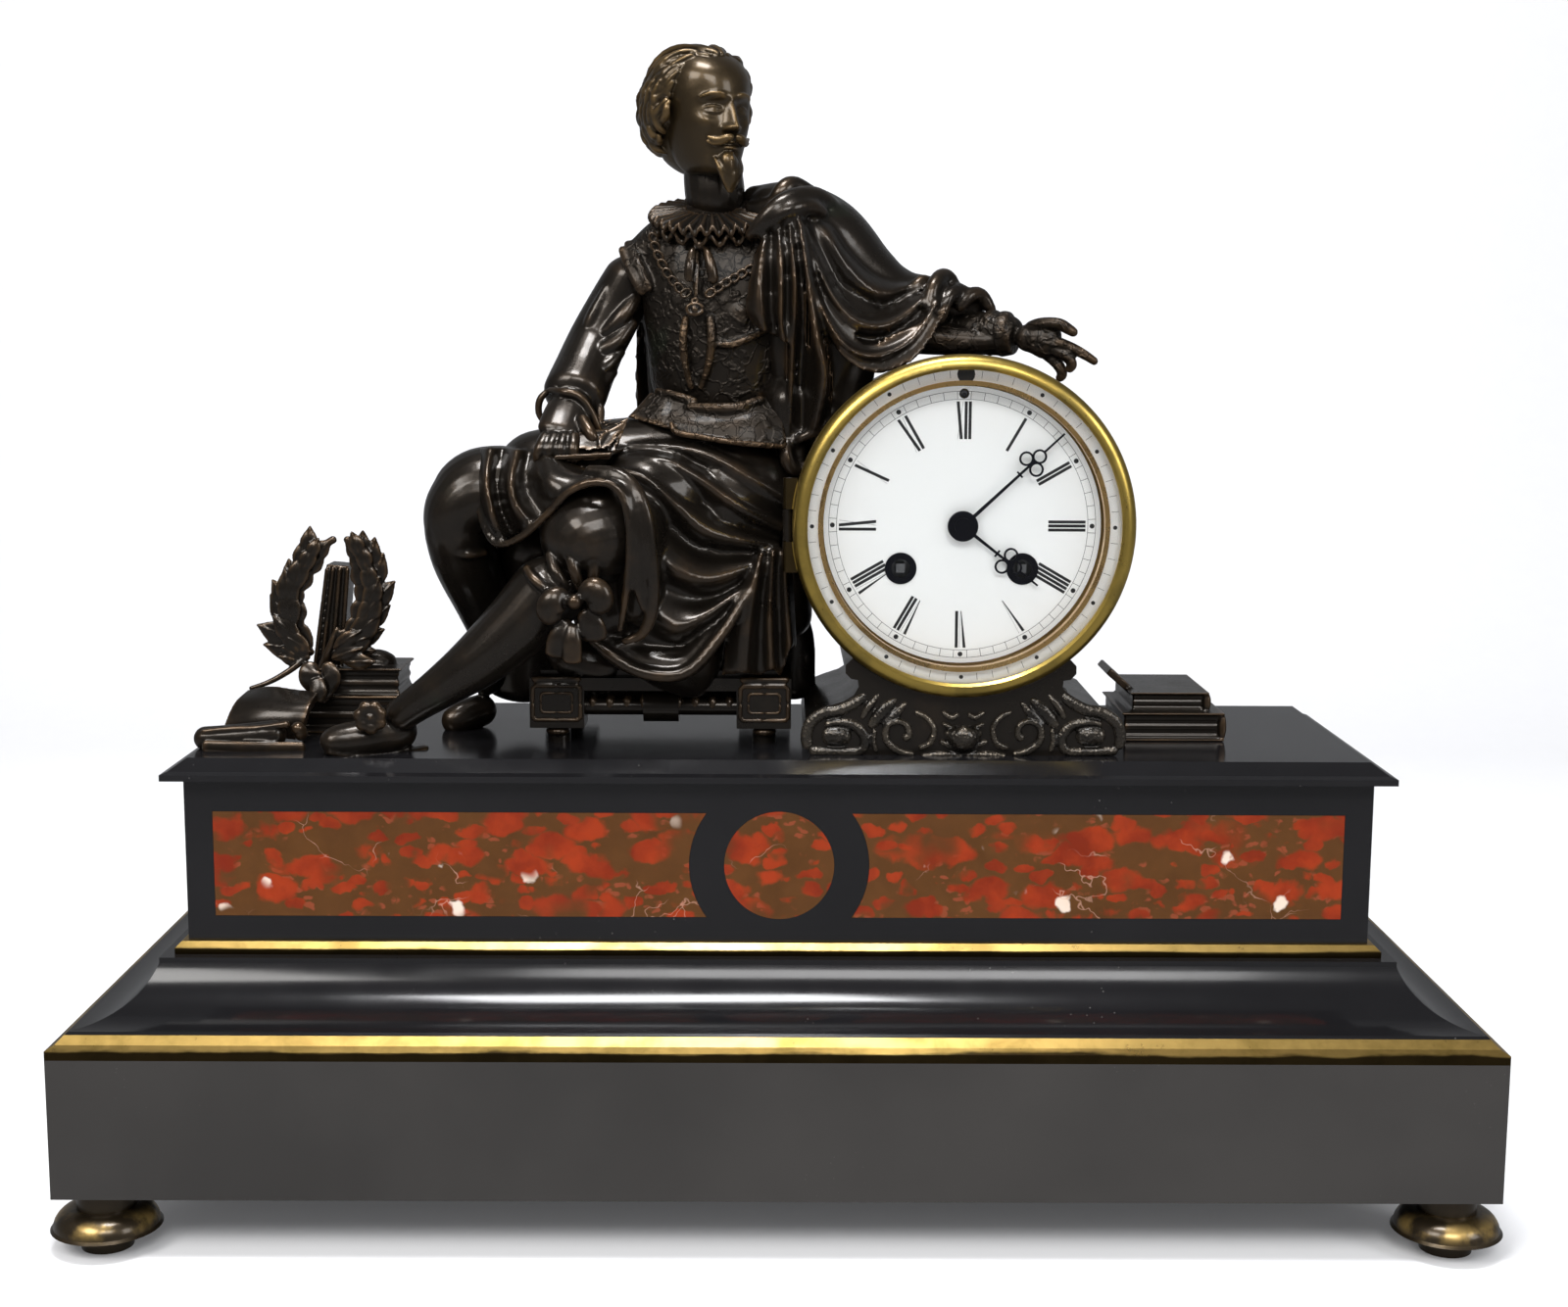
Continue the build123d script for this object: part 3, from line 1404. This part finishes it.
torso_body = level_loft(torso_shares)
drum_body = Pos(drum_x, 0, drum_z) * Rot(90, 0, 0) * Cylinder(drum_radius, base_depth)
under_slab = Pos(0, 0, slab_top - base_depth / 2) * Box(base_width, base_depth, base_depth)
under_seat = Pos(0, 0, slab_top + seat_high - base_depth / 2) * Box(base_width, base_depth, base_depth)

with BuildSketch(Plane(origin=spot(*torso_shares[0][:3]), z_dir=(0, 0, -1)), mode=Mode.PRIVATE) as waist:
    Ellipse(torso_shares[0][3] * sitting, torso_shares[0][4] * sitting)
waist_plug = extrude(waist.sketch, amount=waist_plug_share * sitting, mode=Mode.PRIVATE)

with BuildPart() as figure_torso:
    add(torso_body)
    add(waist_plug)
finish(figure_torso, "figure_torso")

# Head: an egg of level sections turned towards the dial, a plain nose, and the neck
head_angle = radians(head_turn)
face_direction = Vector(sin(head_angle), -cos(head_angle), 0)
ear_direction = Vector(cos(head_angle), sin(head_angle), 0)
head_faces = []
for ahead_share, z_share, half_width_share, half_depth_share in head_shares:
    centre = spot(*head_place_share, z_share) + face_direction * (ahead_share * sitting)
    with BuildSketch(Plane(origin=centre, x_dir=ear_direction, z_dir=(0, 0, 1))) as section:
        Ellipse(half_width_share * sitting, half_depth_share * sitting)
    head_faces.append(section.sketch)
head_body = loft(head_faces, mode=Mode.PRIVATE)
nose_faces = []
for ahead_share, z_share, radius_share in nose_shares:
    centre = spot(*head_place_share, z_share) + face_direction * (ahead_share * sitting)
    with BuildSketch(Plane(origin=centre, z_dir=(0, 0, 1))) as section:
        Circle(radius_share * sitting)
    nose_faces.append(section.sketch)
nose_body = loft(nose_faces, mode=Mode.PRIVATE)
neck_body = limb(neck_shares)
with BuildPart() as figure_head:
    add(head_body)
    add(nose_body)
    add(neck_body)
    add(torso_body, mode=Mode.SUBTRACT)
finish(figure_head, "figure_head")

# Ruff: a scalloped collar tipped forward round the neck
ruff_plane = Plane(
    origin=spot(*ruff_place_share),
    x_dir=(1, 0, 0),
    z_dir=(0, -sin(radians(ruff_tilt)), cos(radians(ruff_tilt))),
)
ruff_points = []
for half_pleat in range(2 * ruff_pleats):
    angle = pi * half_pleat / ruff_pleats
    radius = (ruff_radius_share + ruff_scallop_share * (-1) ** half_pleat) * sitting
    ruff_points.append((radius * cos(angle), radius * sin(angle)))
with BuildPart() as neck_ruff:
    with BuildSketch(ruff_plane):
        with BuildLine():
            Polyline(*ruff_points, close=True)
        make_face()
    extrude(amount=ruff_height_share * sitting)
    add(torso_body, mode=Mode.SUBTRACT)
    add(figure_head.part, mode=Mode.SUBTRACT)
finish(neck_ruff, "neck_ruff")

# Lap: the full skirt of the coat, flat where it rests on the seat, and the cloth over each thigh
lap_body = side_loft(skirt_shares) + limb(right_thigh_cloth_shares) + limb(left_thigh_cloth_shares)
lap_body = (lap_body - waist_plug - under_seat).solids().sort_by(SortBy.VOLUME)[-1]
with BuildPart() as lap_skirt:
    add(lap_body)
finish(lap_skirt, "lap_skirt")

with BuildPart() as right_leg:
    add(limb(right_knee_shares))
    add(limb(right_shin_shares))
    add(shoe(right_shoe_shares))
    add(lap_skirt.part, mode=Mode.SUBTRACT)
    add(under_slab, mode=Mode.SUBTRACT)
finish(right_leg, "right_leg")

with BuildPart() as left_leg:
    add(ball(left_knee_shares[1]))
    add(limb(left_shin_shares))
    add(shoe(left_shoe_shares))
    add(lap_skirt.part, mode=Mode.SUBTRACT)
    add(under_slab, mode=Mode.SUBTRACT)
finish(left_leg, "left_leg")

with BuildPart() as right_arm:
    add(limb(right_arm_shares))
    add(limb(right_hand_shares))
    add(torso_body, mode=Mode.SUBTRACT)
    add(lap_skirt.part, mode=Mode.SUBTRACT)
finish(right_arm, "right_arm")

with BuildPart() as shoulder_cloak:
    add(side_loft(mantle_shares))
    add(level_loft(front_fall_shares))
    add(level_loft(back_fall_shares))
    add(torso_body, mode=Mode.SUBTRACT)
    add(lap_skirt.part, mode=Mode.SUBTRACT)
    add(neck_ruff.part, mode=Mode.SUBTRACT)
    add(figure_head.part, mode=Mode.SUBTRACT)
    add(drum_body, mode=Mode.SUBTRACT)
finish(shoulder_cloak, "shoulder_cloak")

with BuildPart() as left_arm:
    add(limb(left_forearm_shares))
    add(limb(left_hand_shares))
    add(limb(index_finger_shares))
    add(limb(drooped_finger_shares))
    add(shoulder_cloak.part, mode=Mode.SUBTRACT)
    add(drum_body, mode=Mode.SUBTRACT)
finish(left_arm, "left_arm")

# Small clasped book in the right hand
hand_book_share = (-0.29, -0.235, 0.555)
hand_book_sizes_shares = (0.055, 0.13, 0.075)
hand_book_turns = (12, -28, -20)
with BuildPart() as hand_book:
    with Locations(Location(spot(*hand_book_share), hand_book_turns)):
        Box(*[share * sitting for share in hand_book_sizes_shares])
    add(right_arm.part, mode=Mode.SUBTRACT)
    add(lap_skirt.part, mode=Mode.SUBTRACT)
finish(hand_book, "hand_book")

# Renaissance stool: four block legs on ball feet, turned stretchers, a seat board and a flat cushion
stool_block_low = 6.5
stool_block_high = 21.5
stool_board_high = 26.5
stool_ball_radius = 4.6
stretcher_radius = 3.4
stretcher_rise = 14.0
swag_radius = 6.0
swag_length = 14.0
cushion_inset = 4.0
block_rise = (stool_block_low + stool_block_high) / 2
with BuildPart() as stool:
    with Locations((stool_x, stool_y, slab_top + block_rise)):
        with GridLocations(block_spacing_x, block_spacing_y, 2, 2):
            Box(stool_block_width, stool_block_depth, stool_block_high - stool_block_low)
    with BuildSketch(Plane.XY.offset(slab_top)):
        with Locations((stool_x, stool_y)):
            with GridLocations(block_spacing_x, block_spacing_y, 2, 2):
                Circle(stool_ball_radius)
    extrude(amount=stool_block_low)
    with Locations((stool_x, stool_y, slab_top + (stool_block_high + stool_board_high) / 2)):
        Box(stool_width, stool_depth, stool_board_high - stool_block_high)
    with Locations((stool_x, stool_y, slab_top + (stool_board_high + seat_high) / 2)):
        Box(stool_width - 2 * cushion_inset, stool_depth - 2 * cushion_inset, seat_high - stool_board_high)
    rail_plane = Plane(origin=(stool_x, stool_y, slab_top + stretcher_rise), x_dir=(0, 1, 0), z_dir=(1, 0, 0))
    with BuildSketch(rail_plane):
        with Locations((-block_spacing_y / 2, 0), (block_spacing_y / 2, 0)):
            Circle(stretcher_radius)
    extrude(amount=block_spacing_x / 2, both=True)
    with BuildSketch(rail_plane):
        with Locations((-block_spacing_y / 2, 0)):
            Circle(swag_radius)
    extrude(amount=swag_length / 2, both=True)
    cross_place = (stool_x, stool_y, slab_top + stretcher_rise)
    cross_plane = Plane(origin=cross_place, x_dir=(1, 0, 0), z_dir=(0, 1, 0))
    with BuildSketch(cross_plane):
        with Locations((-block_spacing_x / 2, 0), (block_spacing_x / 2, 0)):
            Circle(stretcher_radius)
    extrude(amount=block_spacing_y / 2, both=True)
    extrude(stud_circles(stud_places[2:]), amount=-fixing_stud_length)
finish(stool, "stool")

# Still life by the feet: piled books, one of them leaning upright, a parchment with its roll, and a wreath
still_life_gap = 149.0
still_life_x = figure_x - still_life_gap
pile_low_length = 38.0
pile_low_depth = 30.0
pile_low_height = 15.4
pile_low_shift = 2.0
pile_low_x = still_life_x + pile_low_shift
pile_low_y = 6.0
pile_high_shift = 8.0
pile_high_depth = 32.0
pile_high_height = 8.0
pile_high_y = 4.0
leaning_thickness = 9.0
leaning_depth = 24.0
leaning_height = 46.0
leaning_shift = 2.5
leaning_y = 8.0
leaning_angle = 9
pile_low_top = slab_top + pile_low_height
pile_high_top = pile_low_top + pile_high_height
leaning_z = pile_high_top + leaning_height / 2 - overrun
with BuildPart() as left_books:
    with Locations((pile_low_x, pile_low_y, slab_top + pile_low_height / 2)):
        Box(pile_low_length, pile_low_depth, pile_low_height)
    with Locations((still_life_x + pile_high_shift, pile_high_y, pile_low_top + pile_high_height / 2)):
        Box(pile_low_length, pile_high_depth, pile_high_height)
    with Locations(Location((still_life_x + leaning_shift, leaning_y, leaning_z), (0, leaning_angle, 0))):
        Box(leaning_thickness, leaning_depth, leaning_height)
finish(left_books, "left_books")

wreath_y = -10.0
wreath_rise = 53.4
wreath_radius = 20.5
wreath_stem = 8.0
wreath_leaves = 16
wreath_leaf_length = 15.0
wreath_leaf_width = 6.4
wreath_leaf_thickness = 5.0
wreath_leaf_angle = 24
wreath_branch_width = 4.4
wreath_z = slab_top + wreath_rise
wreath_place = Location((still_life_x, wreath_y, wreath_z), (90, 0, 0))
with BuildPart() as laurel_wreath:
    with BuildSketch(Plane(wreath_place)):
        RegularPolygon(wreath_radius + wreath_stem / 2, wreath_leaves)
        RegularPolygon(wreath_radius - wreath_stem / 2, wreath_leaves, mode=Mode.SUBTRACT)
        for leaf in range(wreath_leaves):
            with Locations(Location((0, 0), 360 * (leaf + 0.5) / wreath_leaves)):
                with Locations(Location((wreath_radius, 0), 90 + wreath_leaf_angle * (-1) ** leaf)):
                    with BuildLine(mode=Mode.PRIVATE) as leaf_line:
                        Polyline(
                            (-wreath_leaf_length / 2, 0),
                            (0, wreath_leaf_width / 2),
                            (wreath_leaf_length / 2, 0),
                            (0, -wreath_leaf_width / 2),
                            close=True,
                        )
                    add(make_face(leaf_line.line, mode=Mode.PRIVATE))
    extrude(amount=wreath_leaf_thickness / 2, both=True)
    with BuildSketch(Plane.XY.offset(slab_top)):
        with Locations((still_life_x, wreath_y)):
            Rectangle(wreath_branch_width, wreath_branch_width)
    extrude(amount=wreath_rise - wreath_radius)
    add(left_books.part, mode=Mode.SUBTRACT)
finish(laurel_wreath, "laurel_wreath")

roll_radius = 6.2
roll_length = 38.0
roll_shift = 28.0
roll_y = -44.0
roll_angle = -8
sheet_thickness = 1.0
sheet_width = 24.0
sheet_shift = 16.0
sheet_back_y = -30.0
sheet_run = 22.0
sheet_fall = 16.6
# The hanging sheet's line, from its back edge: shares of its run forwards and of its height
sheet_shares = [(0, 1), (0.36, 0.72), (0.73, 0.30), (1, 0.036)]
with BuildPart() as paper_sheets:
    roll_place = (still_life_x - roll_shift, roll_y, slab_top + roll_radius)
    with Locations(Location(roll_place, (0, 90, roll_angle))):
        Cylinder(roll_radius, roll_length)
    sheet_plane = Plane(origin=(still_life_x - sheet_shift, 0, slab_top), x_dir=(0, 1, 0), z_dir=(1, 0, 0))
    with BuildSketch(sheet_plane):
        with BuildLine() as sheet_line:
            Spline(*[(sheet_back_y - run * sheet_run, rise * sheet_fall) for run, rise in sheet_shares])
        trace(line_width=sheet_thickness)
    extrude(amount=sheet_width / 2, both=True)
    add(left_books.part, mode=Mode.SUBTRACT)
    add(laurel_wreath.part, mode=Mode.SUBTRACT)
    add(under_slab, mode=Mode.SUBTRACT)
finish(paper_sheets, "paper_sheets")

# Two books lie to the right of the drum, their spines outwards
right_book_gap = 24.2
right_low_length = 38.0
right_low_depth = 50.0
right_low_height = 12.4
right_low_y = 2.0
right_high_length = 29.4
right_high_depth = 45.5
right_high_height = 8.0
right_high_y = 9.3
right_high_shift = 1.1
book_spine_bulge = 3.4
right_low_x = drum_x + drum_radius + right_book_gap
right_high_x = right_low_x - right_high_shift
with BuildPart() as right_books:
    for x, y, low, length, depth, height in (
        (right_low_x, right_low_y, slab_top, right_low_length, right_low_depth, right_low_height),
        (
            right_high_x,
            right_high_y,
            slab_top + right_low_height,
            right_high_length,
            right_high_depth,
            right_high_height,
        ),
    ):
        with BuildSketch(front_plane(y + depth / 2)):
            with Locations((x - drum_x, low + height / 2 - drum_z)):
                Rectangle(length, height)
            with Locations((x + length / 2 - drum_x, low + height / 2 - drum_z)):
                Ellipse(book_spine_bulge, height / 2)
        extrude(amount=depth)
finish(right_books, "right_books")
